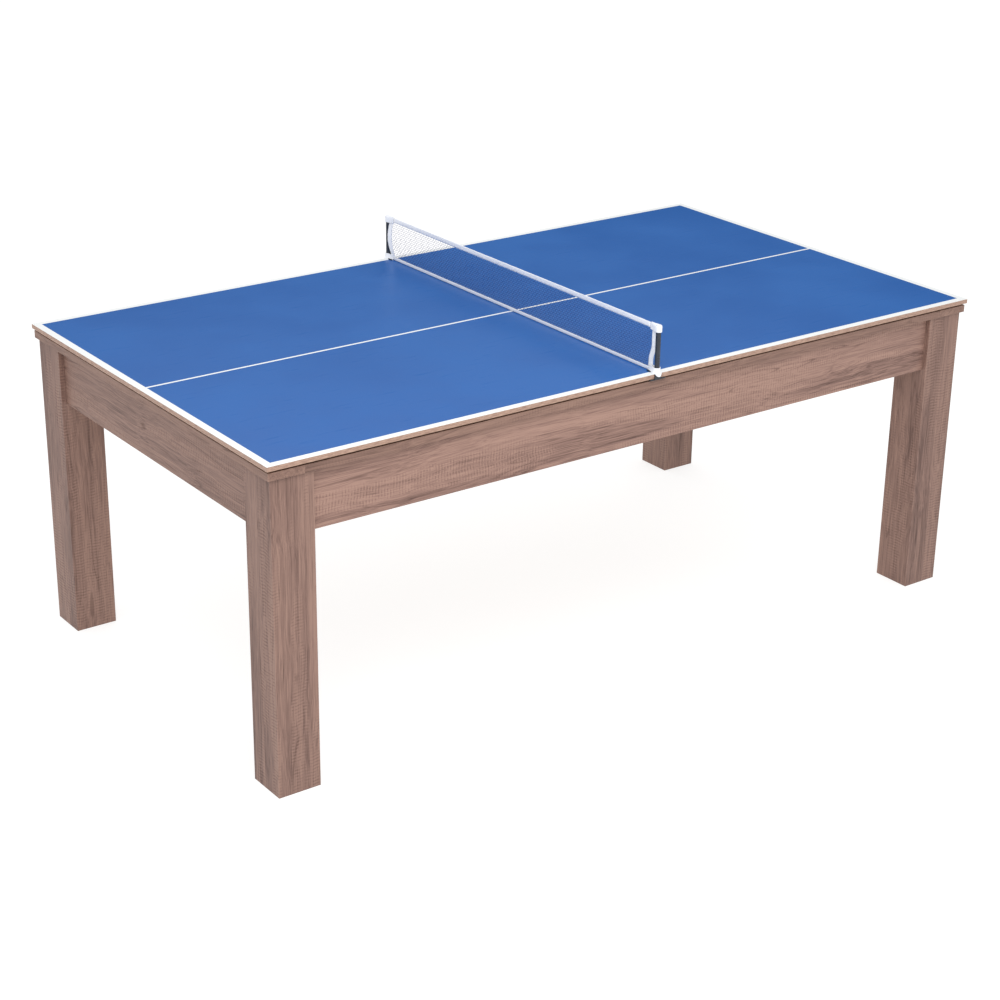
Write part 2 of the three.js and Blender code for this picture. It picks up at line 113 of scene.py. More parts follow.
def use(tree, group, inputs):
    """A shader node group placed in a tree: what it puts out."""
    return put(tree, "ShaderNodeGroup", inputs, node_tree=group).outputs


SAW_TURN = 780.0  # radians of the saw's wave for each metre of grain
SAW_WOBBLE = 13.0
CONTOURS = 44.0


def make_sawn_grain():
    """Printed timber: wandering bands, thin dark lines, long fibres and patches of saw marks."""
    group, given, out = effect(
        "sawn_grain",
        {"Place": "vector", "Light": "colour", "Middle": "colour", "Dark": "colour", "Marks": "value"},
        {"Color": "colour", "Height": "value"},
    )
    place = given["Place"]
    light, middle, dark = given["Light"], given["Middle"], given["Dark"]

    # The grain's lines run along the first axis and wander aside.
    wander = calc(group, "SUBTRACT", grain_noise(group, place, (1.9, 4.0, 4.0), 3.0), 0.5)
    drift = calc(group, "MULTIPLY", wander, 0.05)
    aside = put(group, "ShaderNodeCombineXYZ", {1: drift, 2: drift}).outputs[0]
    along = put(group, "ShaderNodeVectorMath", {0: place, 1: aside}, operation="ADD").outputs[0]
    bands = grain_noise(group, along, (0.9, 26.0, 26.0), 3.0, 0.55)
    lines = grain_noise(group, along, (2.2, 120.0, 120.0), 3.0, 0.6)
    fibres = grain_noise(group, along, (8.0, 480.0, 480.0), 3.0, 0.7)
    cloud = grain_noise(group, place, (1.3, 5.0, 5.0), 2.0)

    # Thin dark lines follow the contours of a slow noise and fade in and out.
    level = grain_noise(group, along, (0.8, 17.0, 17.0), 1.0)
    contour = calc(group, "ABSOLUTE", calc(group, "SINE", calc(group, "MULTIPLY", level, CONTOURS)))
    faint = ramp(group, grain_noise(group, along, (4.0, 60.0, 60.0), 2.0), 0.42, 0.62)
    streaks = calc(group, "MULTIPLY", ramp(group, contour, 0.05, 0.30, 1.0, 0.0), faint)

    # Saw marks cross the grain in patches, each a dark cut beside a light ridge.
    patches = ramp(group, grain_noise(group, along, (2.6, 19.0, 19.0), 2.0), 0.46, 0.60)
    slip = calc(group, "MULTIPLY", grain_noise(group, place, (3.0, 20.0, 20.0), 2.0), SAW_WOBBLE)
    reach = put(group, "ShaderNodeSeparateXYZ", {0: place}).outputs[0]
    saw = calc(group, "SINE", calc(group, "MULTIPLY_ADD", reach, SAW_TURN, slip))
    broken = ramp(group, grain_noise(group, place, (60.0, 120.0, 120.0), 2.0), 0.36, 0.60)
    marked = calc(group, "MULTIPLY", calc(group, "MULTIPLY", broken, patches), given["Marks"])
    cut = calc(group, "MULTIPLY", ramp(group, saw, 0.1, 0.9), marked)
    raised = calc(group, "MULTIPLY", ramp(group, saw, -0.1, -0.9), marked)

    fine = calc(group, "MULTIPLY_ADD", fibres, 0.40, calc(group, "MULTIPLY", lines, 0.22))
    broad = calc(group, "MULTIPLY_ADD", bands, 0.24, calc(group, "MULTIPLY", cloud, 0.16))
    tone = calc(group, "ADD", fine, broad)
    tone = calc(group, "MULTIPLY_ADD", patches, calc(group, "MULTIPLY", given["Marks"], 0.035), tone)
    colour = mixed(group, ramp(group, tone, 0.36, 0.50), dark, middle)
    colour = mixed(group, ramp(group, tone, 0.46, 0.62), colour, light)
    colour = mixed(group, calc(group, "MULTIPLY", streaks, 0.48), colour, dark)
    colour = mixed(group, calc(group, "MULTIPLY", cut, 0.30), colour, dark)
    colour = mixed(group, calc(group, "MULTIPLY", raised, 0.42), colour, light)
    group.links.new(colour, out["Color"])
    sunk = calc(group, "MULTIPLY_ADD", streaks, 0.4, calc(group, "MULTIPLY", cut, 0.6))
    height = calc(group, "SUBTRACT", calc(group, "MULTIPLY", fibres, 0.5), sunk)
    group.links.new(height, out["Height"])
    return group


def make_edge_wear():
    """A colour rubbed lighter where Edge is 1, in an uneven line."""
    group, given, out = effect(
        "edge_wear",
        {"Place": "vector", "Color": "colour", "Worn": "colour", "Edge": "value", "Amount": "value"},
        {"Color": "colour"},
    )
    uneven = ramp(group, grain_noise(group, given["Place"], (35.0, 35.0, 35.0), 3.0), 0.35, 0.65)
    share = calc(group, "MULTIPLY", calc(group, "MULTIPLY", uneven, given["Edge"]), given["Amount"])
    group.links.new(mixed(group, share, given["Color"], given["Worn"]), out["Color"])
    return group


sawn_grain = make_sawn_grain()
edge_wear = make_edge_wear()


def finish_of(name, roughness, metallic=0.0):
    """A new material: its tree, its shader and the surface's own coordinates."""
    material = bpy.data.materials.new(name)
    material.use_nodes = True
    shader = material.node_tree.nodes["Principled BSDF"]
    shader.inputs["Roughness"].default_value = roughness
    shader.inputs["Metallic"].default_value = metallic
    place = put(material.node_tree, "ShaderNodeTexCoord").outputs["Object"]
    return material, material.node_tree, shader, place


def raise_surface(tree, shader, height, depth):
    """Feeds a height pattern, depth metres deep, to the shader as bumps."""
    bump = put(tree, "ShaderNodeBump", {"Height": height, "Distance": depth, "Strength": 1.0})
    tree.links.new(bump.outputs[0], shader.inputs["Normal"])


GRAIN_DEPTH = 0.00025
GRAIN_ALONG = {"x": (0, 1, 2), "y": (1, 2, 0), "z": (2, 0, 1)}


def foiled(name, along, light, middle, dark, worn, marks=1.0):
    """Foil printed with timber, its grain running along one axis."""
    material, tree, shader, place = finish_of(name, 0.55)
    shader.inputs["Specular IOR Level"].default_value = 0.3
    axes = put(tree, "ShaderNodeSeparateXYZ", {0: place}).outputs
    turned = {i: axes[axis] for i, axis in enumerate(GRAIN_ALONG[along])}
    turned = put(tree, "ShaderNodeCombineXYZ", turned).outputs[0]
    tones = {"Place": turned, "Light": light, "Middle": middle, "Dark": dark, "Marks": marks}
    grain = use(tree, sawn_grain, tones)
    edge = put(tree, "ShaderNodeAttribute", attribute_name="edge").outputs["Fac"]
    rubbed = {"Place": place, "Color": grain["Color"], "Worn": worn, "Edge": edge, "Amount": 0.5}
    tree.links.new(use(tree, edge_wear, rubbed)["Color"], shader.inputs["Base Color"])
    gloss = ramp(tree, grain["Height"], -0.6, 0.4, 0.68, 0.48)
    tree.links.new(gloss, shader.inputs["Roughness"])
    raise_surface(tree, shader, grain["Height"], GRAIN_DEPTH)
    return material


DRIFTWOOD_TONES = {
    "light": (0.372, 0.228, 0.180, 1),
    "middle": (0.248, 0.146, 0.118, 1),
    "dark": (0.102, 0.054, 0.044, 1),
    "worn": (0.45, 0.31, 0.26, 1),
}


def driftwood(along, depth=1.0):
    """The foil with its grain along one axis, its tones made depth times as light: painted light and
    shade for the boards of that axis.
    """
    tones = {part: (*(depth * c for c in tone[:3]), 1) for part, tone in DRIFTWOOD_TONES.items()}
    return foiled("driftwood_" + along, along, **tones)


# The legs' copy of the foil is printed darker than the aprons': painted shade.
driftwood_up = driftwood("z", depth=0.86)


def body_holding(node):
    bodies = frame["record"]["behaviour"]["bodies"]
    return next(body for body, nodes in bodies.items() if node in nodes)


def stand_for(piece, node):
    """The piece rides where its CAD node does and replaces it."""
    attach(piece, body_holding(node))
    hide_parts(node)
    return piece


def added(name, mesh, *materials):
    piece = bpy.data.objects.new(name, mesh)
    bpy.context.scene.collection.objects.link(piece)
    for material in materials:
        mesh.materials.append(material)
    return piece


def eased(node, edge, *materials, steps=2, back=None):
    """The CAD node's shape with its loose triangles merged and its edges rounded.
    Faces that look along back, if it is given, take the second material."""
    source = frame["nodes"][node].data
    mesh = bpy.data.meshes.new("eased_" + node)
    mesh.from_pydata([v.co for v in source.vertices], [], [tuple(p.vertices) for p in source.polygons])
    shape = bmesh.new()
    shape.from_mesh(mesh)
    bmesh.ops.remove_doubles(shape, verts=shape.verts, dist=MERGE)
    bmesh.ops.dissolve_limit(shape, angle_limit=FLAT_ANGLE, verts=shape.verts, edges=shape.edges)
    worn = shape.faces.layers.float.new("edge")
    sharp = [e for e in shape.edges if e.calc_face_angle(0.0) > EDGE_ANGLE]
    rounded = bmesh.ops.bevel(
        shape, geom=sharp, offset=edge, segments=steps, profile=0.5, affect="EDGES", clamp_overlap=True
    )
    for face in rounded["faces"]:
        face[worn] = 1.0
    for face in shape.faces:
        face.smooth = True
        if back is not None and face.normal.dot(back) > 0.9:
            face.material_index = 1
    shape.to_mesh(mesh)
    shape.free()
    piece = added("finished_" + node, mesh, *materials)
    piece.modifiers.new("flat_faces", "WEIGHTED_NORMAL")
    return piece


for side in SIDES:
    for end in ENDS:
        leg = f"leg_{side}_{end}"
        stand_for(eased(leg, FOILED_EDGE, driftwood_up), leg)


# ---- Levellers ----------------------------------------------------------------------------
# A moulded disc on a steel screw stands in a recess under each leg. It is turned by hand,
# so its rim has finger flutes, and the screw's thread runs up into the leg's foot block.

RIM_FLUTES = 18
FLUTE_DEPTH = 0.0008
STEM_RADIUS = 0.005
THREAD_PITCH = 0.0015
THREAD_DEPTH = 0.0007
THREAD_START = 0.001
STEM_POINT = 0.003
STEM_CHAMFER = 0.0015
COLLAR = 0.003
COLLAR_STEP = 0.0002
DISC_THICKNESS = 0.006
DISC_ROUND = 0.0012
DISC_SIDES = 72
FLUTED_BAND = 0.002


def moulding(name, colour, roughness):
    """Plastic with the fine texture of its mould."""
    material, tree, shader, place = finish_of(name, roughness)
    spark = grain_noise(tree, place, (1400.0, 1400.0, 1400.0), 2.0)
    patch = grain_noise(tree, place, (18.0, 18.0, 18.0), 3.0)
    pale = tuple(min(1.0, 1.6 * c + 0.008) for c in colour[:3]) + (1,)
    tree.links.new(mixed(tree, ramp(tree, patch, 0.40, 0.75), colour, pale), shader.inputs["Base Color"])
    dulled = ramp(tree, patch, 0.3, 0.7, roughness - 0.06, roughness + 0.08)
    tree.links.new(dulled, shader.inputs["Roughness"])
    raise_surface(tree, shader, spark, 0.00008)
    return material


def steel(name, colour, roughness, metallic):
    """Metal with a faint drawn line along its length and handling marks."""
    material, tree, shader, place = finish_of(name, roughness, metallic)
    drawn = grain_noise(tree, place, (900.0, 900.0, 30.0), 3.0)
    smear = grain_noise(tree, place, (45.0, 45.0, 45.0), 4.0)
    pale = tuple(min(1.0, 1.5 * c + 0.01) for c in colour[:3]) + (1,)
    tree.links.new(mixed(tree, ramp(tree, smear, 0.45, 0.75), colour, pale), shader.inputs["Base Color"])
    dulled = ramp(tree, smear, 0.3, 0.7, roughness - 0.08, roughness + 0.1)
    tree.links.new(dulled, shader.inputs["Roughness"])
    raise_surface(tree, shader, drawn, 0.00003)
    return material


black_moulding = moulding("black_moulding", (0.020, 0.020, 0.022, 1), roughness=0.5)
zinc_plate = steel("zinc_plate", (0.55, 0.56, 0.57, 1), roughness=0.32, metallic=1.0)


def turned_piece(name, profile, centre, sides, *materials, flutes=None):
    """A profile of (radius, height, material index) turned about an upright axis, closed on it."""
    mesh = bpy.data.meshes.new(name)
    shape = bmesh.new()
    rings = []
    for radius, height, _ in profile:
        if radius == 0:
            rings.append([shape.verts.new((centre.x, centre.y, height))] * sides)
            continue
        ring = []
        for i in range(sides):
            turn = math.tau * i / sides
            reach = radius - (flutes(turn, radius) if flutes else 0.0)
            place = (centre.x + reach * math.cos(turn), centre.y + reach * math.sin(turn), height)
            ring.append(shape.verts.new(place))
        rings.append(ring)
    for (low, high), (_, _, index) in zip(zip(rings, rings[1:]), profile[1:]):
        for i in range(sides):
            j = (i + 1) % sides
            corners = list(dict.fromkeys((low[i], low[j], high[j], high[i])))
            face = shape.faces.new(corners)
            face.material_index = index
            face.smooth = True
    shape.to_mesh(mesh)
    shape.free()
    return added(name, mesh, *materials)


def leveller_profile(low, high):
    """The disc with rounded rims, then the threaded stem with a pointed end."""
    radius = (high.x - low.x) / 2
    top = low.z + DISC_THICKNESS
    root = STEM_RADIUS - THREAD_DEPTH
    points = [(0, low.z, 0), (radius - DISC_ROUND, low.z, 0)]
    points += [(radius - DISC_ROUND / 3, low.z + DISC_ROUND / 3, 0), (radius, low.z + DISC_ROUND, 0)]
    points += [(radius, top - DISC_ROUND, 0), (radius - DISC_ROUND, top, 0)]
    points += [(STEM_RADIUS + COLLAR, top + COLLAR_STEP, 0), (root, top + 2 * COLLAR_STEP, 0)]
    for k in range(int((high.z - top - STEM_POINT) / THREAD_PITCH)):
        foot = top + THREAD_START + k * THREAD_PITCH
        points += [(root, foot, 1), (STEM_RADIUS, foot + THREAD_PITCH / 2, 1)]
    points += [(STEM_RADIUS - STEM_CHAMFER, high.z - STEM_CHAMFER / 3, 1), (0, high.z, 1)]
    return points


for side in SIDES:
    for end in ENDS:
        node = f"leveller_{side}_{end}"
        low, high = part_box(node)
        disc_radius = (high.x - low.x) / 2

        def finger_flutes(turn, radius):
            at_rim = radius > disc_radius - FLUTED_BAND
            return FLUTE_DEPTH * (0.5 + 0.5 * math.cos(RIM_FLUTES * turn)) if at_rim else 0.0

        leveller = turned_piece(
            "finished_" + node,
            leveller_profile(low, high),
            (low + high) / 2,
            DISC_SIDES,
            black_moulding,
            zinc_plate,
            flutes=finger_flutes,
        )
        stand_for(leveller, node)


# ---- Aprons -------------------------------------------------------------------------------
# Four boards between the legs, set back from the legs' faces and tied to them behind. They
# wear the same foil with its grain lying flat, and their backs are bare fibreboard.

BARE_EDGE = 0.0006


def fibreboard(name, colour):
    """Pressed wood fibre: short pale and dark flecks in a flat tan."""
    material, tree, shader, place = finish_of(name, 0.85)
    flecks = grain_noise(tree, place, (700.0, 700.0, 700.0), 3.0, 0.7)
    cloud = grain_noise(tree, place, (9.0, 9.0, 9.0), 3.0)
    dark = tuple(0.66 * c for c in colour[:3]) + (1,)
    pale = tuple(1.22 * c for c in colour[:3]) + (1,)
    base = mixed(tree, ramp(tree, cloud, 0.3, 0.7), colour, pale)
    base = mixed(tree, ramp(tree, flecks, 0.55, 0.42, 0.0, 0.6), base, dark)
    tree.links.new(base, shader.inputs["Base Color"])
    raise_surface(tree, shader, flecks, 0.00015)
    return material


bare_board = fibreboard("bare_fibreboard", (0.36, 0.245, 0.15, 1))
# The front and back aprons' foil is printed lighter, painted light, and the end aprons' foil darker,
# painted shade.
driftwood_along_x = driftwood("x", depth=1.06)
driftwood_along_y = driftwood("y", depth=0.88)

INWARD = {
    "front": Vector((0, 1, 0)),
    "back": Vector((0, -1, 0)),
    "left": Vector((1, 0, 0)),
    "right": Vector((-1, 0, 0)),
}
for place, inward in INWARD.items():
    apron = "apron_" + place
    foil = driftwood_along_x if place in SIDES else driftwood_along_y
    stand_for(eased(apron, FOILED_EDGE, foil, bare_board, back=inward), apron)


# ---- Corner plates, cross beams and end battens ---------------------------------------------
# Cut from bare fibreboard. A plate is screwed behind each leg to tie it to both aprons, and
# the beams and battens carry the bed between the aprons.

for side in SIDES:
    for end in ENDS:
        plate = f"corner_plate_{side}_{end}"
        stand_for(eased(plate, BARE_EDGE, bare_board), plate)
for end in ENDS:
    for carrier in (f"cross_beam_{end}_1", f"cross_beam_{end}_2", f"bed_batten_{end}"):
        stand_for(eased(carrier, BARE_EDGE, bare_board), carrier)


# ---- Bed and cloth --------------------------------------------------------------------------
# The bed is one fibreboard panel, bitten out for the legs and pockets. A napped green cloth
# is stretched over it and fixed below.

CLOTH_EDGE = 0.0003


def make_weave():
    """Plain weave with Pitch metres between threads: the height of the threads and their shade."""
    coming_in = {"Place": "vector", "Pitch": "value"}
    group, given, out = effect("weave", coming_in, {"Height": "value", "Shade": "value"})
    axes = put(group, "ShaderNodeSeparateXYZ", {0: given["Place"]}).outputs
    waves = []
    for first, second in ((axes[0], axes[2]), (axes[1], axes[2])):
        across = calc(group, "DIVIDE", calc(group, "ADD", first, second), given["Pitch"])
        waves.append(calc(group, "SINE", calc(group, "MULTIPLY", across, math.tau)))
    woven = calc(group, "MULTIPLY", waves[0], waves[1])
    height = ramp(group, woven, -1.0, 1.0)
    group.links.new(height, out["Height"])
    slub = grain_noise(group, given["Place"], (120.0, 900.0, 900.0), 2.0)
    shade = calc(group, "MULTIPLY_ADD", height, 0.5, calc(group, "MULTIPLY", slub, 0.5))
    group.links.new(shade, out["Shade"])
    return group


weave = make_weave()


def fabric(name, colour, shade, pitch, nap, sheen, roughness=0.95):
    """Cloth: woven threads with a nap over them, shaded where the nap lies the other way."""
    material, tree, shader, place = finish_of(name, roughness)
    threads = use(tree, weave, {"Place": place, "Pitch": pitch})
    pile = grain_noise(tree, place, (1100.0, 1100.0, 1100.0), 3.0, 0.65)
    lie = grain_noise(tree, place, (7.0, 11.0, 9.0), 3.0)
    base = mixed(tree, ramp(tree, threads["Shade"], 0.25, 0.75), shade, colour)
    base = mixed(tree, ramp(tree, lie, 0.35, 0.7, 0.0, 0.3), base, shade)
    tree.links.new(base, shader.inputs["Base Color"])
    height = calc(tree, "MULTIPLY_ADD", pile, nap, calc(tree, "MULTIPLY", threads["Height"], 1.0 - nap))
    raise_surface(tree, shader, height, 0.00018)
    shader.inputs["Sheen Weight"].default_value = sheen
    shader.inputs["Sheen Roughness"].default_value = 0.5
    return material


pool_cloth = fabric(
    "pool_cloth",
    colour=(0.009, 0.165, 0.060, 1),
    shade=(0.005, 0.105, 0.038, 1),
    pitch=0.0011,
    nap=0.7,
    sheen=0.25,
)

stand_for(eased("bed_board", BARE_EDGE, bare_board), "bed_board")
cloth = stand_for(eased("bed_cloth", CLOTH_EDGE, pool_cloth), "bed_cloth")


# ---- Pocket cups ----------------------------------------------------------------------------
# Moulded cups drop through the rails and hang by their rims. Each is cut away towards the bed
# so that a ball can roll in, and the cut and the rim are rounded over.

CUP_EDGE = 0.0006

for side in SIDES:
    for place in (*ENDS, "middle"):
        cup = f"pocket_{side}_{place}"
        stand_for(eased(cup, CUP_EDGE, black_moulding), cup)


# ---- Cushions -------------------------------------------------------------------------------
# A rubber nose on a wooden sub-rail, covered in the bed's cloth. The cloth is pulled tight, so
# the nose and the mitred ends are only softly rounded.

NOSE_ROUND = 0.0022

long_cushions = [f"cushion_{side}_{end}" for side in SIDES for end in ENDS]
for cushion in (*long_cushions, "cushion_left", "cushion_right"):
    stand_for(eased(cushion, NOSE_ROUND, pool_cloth, steps=3), cushion)


# ---- Rails ----------------------------------------------------------------------------------
# Flat boards on the aprons and legs. The end rails run the table's full width, the long rails
# fit between them, and all four wear the same foil, darker and browner: painted shade from the boards
# above.

# The driftwood's tones made darker and browner: painted shade under the boards' overhang.
RAIL_SHADED_TONES = {
    "light": (0.300, 0.182, 0.140, 1),
    "middle": (0.215, 0.126, 0.098, 1),
    "dark": (0.105, 0.058, 0.045, 1),
    "worn": (0.34, 0.22, 0.18, 1),
}
rail_foils = {along: foiled("rail_foil_" + along, along, marks=0.6, **RAIL_SHADED_TONES) for along in "xy"}

for place in (*SIDES, *ENDS):
    rail = "rail_" + place
    foil = rail_foils["x" if place in SIDES else "y"]
    stand_for(eased(rail, FOILED_EDGE, foil), rail)


# ---- Tennis boards --------------------------------------------------------------------------
# Two fibreboard panels that meet under the net. Their upper faces are sprayed satin blue with
# white lines, the sides wear a tan edge strip, and the undersides are bare.

PAINT_EDGE = 0.0006
BORDER = 0.019
CENTRE_LINE = 0.007
LINE_SOFT = 0.0003
PAINT_FLOOR = 0.0007

board_low, board_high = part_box("tennis_top_left")
half_x = -board_low.x
half_y = board_high.y
BLUE = (0.008, 0.120, 0.430, 1)
BLUE_DEEP = (0.006, 0.106, 0.398, 1)
LINE_WHITE = (0.90, 0.92, 0.92, 1)
STRIP = (0.47, 0.31, 0.235, 1)
STRIP_DARK = (0.33, 0.205, 0.155, 1)


def painted_board():
    """Blue paint, white lines and the edge strip, each where the board's own coordinates put it."""
    material, tree, shader, place = finish_of("painted_board", 0.4)
    shader.inputs["Specular IOR Level"].default_value = 0.28
    x, y, z = put(tree, "ShaderNodeSeparateXYZ", {0: place}).outputs
    from_end = calc(tree, "SUBTRACT", half_x, calc(tree, "ABSOLUTE", x))
    from_side = calc(tree, "SUBTRACT", half_y, calc(tree, "ABSOLUTE", y))
    from_edge = calc(tree, "MINIMUM", from_end, from_side)
    border = ramp(tree, from_edge, BORDER - LINE_SOFT, BORDER + LINE_SOFT, 1.0, 0.0)
    from_middle = calc(tree, "ABSOLUTE", y)
    line = ramp(tree, from_middle, CENTRE_LINE / 2 - LINE_SOFT, CENTRE_LINE / 2 + LINE_SOFT, 1.0, 0.0)
    white = calc(tree, "MAXIMUM", border, line)
    cloud = grain_noise(tree, place, (2.2, 2.2, 2.2), 4.0, 0.6)
    scuffs = ramp(tree, grain_noise(tree, place, (14.0, 90.0, 14.0), 3.0), 0.60, 0.78)
    dust = ramp(tree, grain_noise(tree, place, (420.0, 420.0, 420.0), 1.0), 0.72, 0.80)
    blue = mixed(tree, ramp(tree, cloud, 0.35, 0.65), BLUE_DEEP, BLUE)
    paint = mixed(tree, white, blue, LINE_WHITE)
    paint = mixed(tree, calc(tree, "MULTIPLY", dust, 0.10), paint, (0.55, 0.60, 0.68, 1))
    streaks = grain_noise(tree, place, (60.0, 60.0, 700.0), 3.0)
    strip = mixed(tree, ramp(tree, streaks, 0.42, 0.58), STRIP_DARK, STRIP)
    above = ramp(tree, z, board_high.z - PAINT_FLOOR, board_high.z - PAINT_FLOOR / 2)
    tree.links.new(mixed(tree, above, strip, paint), shader.inputs["Base Color"])
    gloss = calc(tree, "MULTIPLY_ADD", scuffs, 0.10, ramp(tree, cloud, 0.3, 0.7, 0.36, 0.44))
    tree.links.new(gloss, shader.inputs["Roughness"])
    peel = grain_noise(tree, place, (380.0, 380.0, 380.0), 2.0)
    raise_surface(tree, shader, peel, 0.00003)
    return material


board_paint = painted_board()
for end in ENDS:
    board = "tennis_top_" + end
    piece = eased(board, PAINT_EDGE, board_paint, bare_board, back=Vector((0, 0, -1)))
    stand_for(piece, board)


# ---- Felt strips and dowels -------------------------------------------------------------------
# Pressed felt is glued under the boards where they rest on the long rails. Three loose beech
# dowels cross the seam and keep the two boards level.

FELT_EDGE = 0.0012
DOWEL_EDGE = 0.0008

felt = fabric(
    "pressed_felt",
    colour=(0.032, 0.032, 0.036, 1),
    shade=(0.018, 0.018, 0.021, 1),
    pitch=0.0022,
    nap=0.95,
    sheen=0.35,
)
for side in SIDES:
    for end in ENDS:
        strip = f"felt_strip_{side}_{end}"
        stand_for(eased(strip, FELT_EDGE, felt), strip)

beech = foiled(
    "beech",
    "x",
    light=(0.62, 0.44, 0.26, 1),
    middle=(0.56, 0.385, 0.215, 1),
    dark=(0.40, 0.25, 0.13, 1),
    worn=(0.66, 0.50, 0.32, 1),
    marks=0.0,
)
for number in (1, 2, 3):
    dowel = f"top_dowel_{number}"
    stand_for(eased(dowel, DOWEL_EDGE, beech), dowel)


# ---- Net clips and posts ----------------------------------------------------------------------
# Each clip is a strip of steel bent round the boards' edge, with a wide jaw in the gap below
# and a narrow arm on top. The post is a tube pressed over the clip's spigot. Both are black.

STEEL_EDGE = 0.0005

black_enamel = steel("black_enamel", (0.020, 0.026, 0.038, 1), roughness=0.32, metallic=0.0)
for side in SIDES:
    clip = f"net_clip_{side}"
    post = f"net_post_{side}"
    stand_for(eased(clip, STEEL_EDGE, black_enamel), clip)
    stand_for(eased(post, STEEL_EDGE / 2, black_enamel), post)


# ---- Net tapes --------------------------------------------------------------------------------
# White cotton tape is folded over the netting's upper and lower edges. At its ends it is sewn
# into a hood that caps the post and a loop round the post's foot, which sags over the clip.

TAPE_HEIGHT = 0.012
FOOT_TAPE_HEIGHT = 0.0085
TAPE_HALF = 0.0009
TAPE_GAP = 0.0003
TAPE_STEPS = 150
TAPE_WALL = 0.0005
TAPE_WAVER = 0.00025
SLEEVE_STEPS = 28
SLEEVE_TAIL = 9
SLEEVE_RINGS = 14
SLEEVE_WALL = 0.0011
HOOD_HEIGHT = 0.0185
DOME = 0.006
DOME_DRAW = 0.16
LOOP_HEIGHT = 0.0145
LOOP_SAG = 0.0065
SAG_START = 0.55
LOOP_FLARE = 0.0028
FLARE_REACH = 0.7
CREASE = 0.0005
CREASE_DEPTH = 0.07

net_low, net_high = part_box("net_mesh")
hem_low, hem_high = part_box("net_side_tape_back")
post_low, post_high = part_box("net_post_back")
tape_end = (hem_low.y + hem_high.y) / 2
post_y = (post_low.y + post_high.y) / 2
sleeve_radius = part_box("net_headband")[1].x
hood_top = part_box("net_headband")[1].z
board_top = board_high.z
head_bottom = net_high.z + TAPE_GAP
foot_bottom = net_low.z - TAPE_GAP - TAPE_HEIGHT
foot_top = foot_bottom + FOOT_TAPE_HEIGHT
netting_low = foot_top + TAPE_GAP
netting_height = net_high.z - netting_low

white_tape = fabric(
    "white_tape",
    colour=(0.95, 0.97, 1.0, 1),
    shade=(0.86, 0.88, 0.95, 1),
    pitch=0.0010,
    nap=0.3,
    sheen=0.1,
    roughness=0.85,
)


def waver(*place):
    """Smooth noise from -1 to 1 at a place, where the units are the bumps' own size."""
    return noise.noise(Vector(place))


def walled(piece, thickness, offset):
    """Gives a cut cloth shape its thickness."""
    wall = piece.modifiers.new("wall", "SOLIDIFY")
    wall.thickness = thickness
    wall.offset = offset
    return piece


def tape(name, bottom, height, folded_up):
    """Tape folded along its length across the table, with the fold at the top or at the bottom."""
    half_fold = [(1.0, 0.0), (1.08, 0.3), (1.12, 0.6), (0.95, 0.85), (0.55, 0.97)]
    outline = [(-wide, share) for wide, share in half_fold] + [(0.0, 1.0)]
    outline += [(wide, share) for wide, share in reversed(half_fold)]
    mesh = bpy.data.meshes.new(name)
    shape = bmesh.new()
    rings = []
    for i in range(TAPE_STEPS + 1):
        y = tape_end * (2 * i / TAPE_STEPS - 1)
        aside = TAPE_WAVER * waver(y * 30, bottom * 100, 0.0)
        ring = []
        for wide, share in outline:
            share = share if folded_up else 1.0 - share
            rise = TAPE_WAVER * waver(y * 55, share, 7.0)
            place = (wide * TAPE_HALF + aside, y, bottom + share * height + rise)
            ring.append(shape.verts.new(place))
        rings.append(ring)
    for low, high in zip(rings, rings[1:]):
        for i in range(len(outline) - 1):
            corners = (low[i], high[i], high[i + 1], low[i + 1])
            shape.faces.new(corners if folded_up else reversed(corners)).smooth = True
    shape.to_mesh(mesh)
    shape.free()
    return walled(added(name, mesh, white_tape), TAPE_WALL, -1)


def sleeve_plan():
    """A sewn sleeve's outline, as (across, outwards) from the post: up one side, round and back."""
    wrap = math.radians(15)
    turns = [k / SLEEVE_STEPS * (math.pi + 2 * wrap) - wrap for k in range(SLEEVE_STEPS + 1)]
    arc = [(sleeve_radius * math.cos(a), sleeve_radius * math.sin(a)) for a in turns]
    tail_end = Vector((TAPE_HALF * 1.5, tape_end - post_y))
    start = Vector(arc[0])
    tail = [tail_end.lerp(start, k / SLEEVE_TAIL) for k in range(SLEEVE_TAIL)]
    side = [(p.x, p.y) for p in tail]
    return side + arc + [(-x, y) for x, y in reversed(side)]


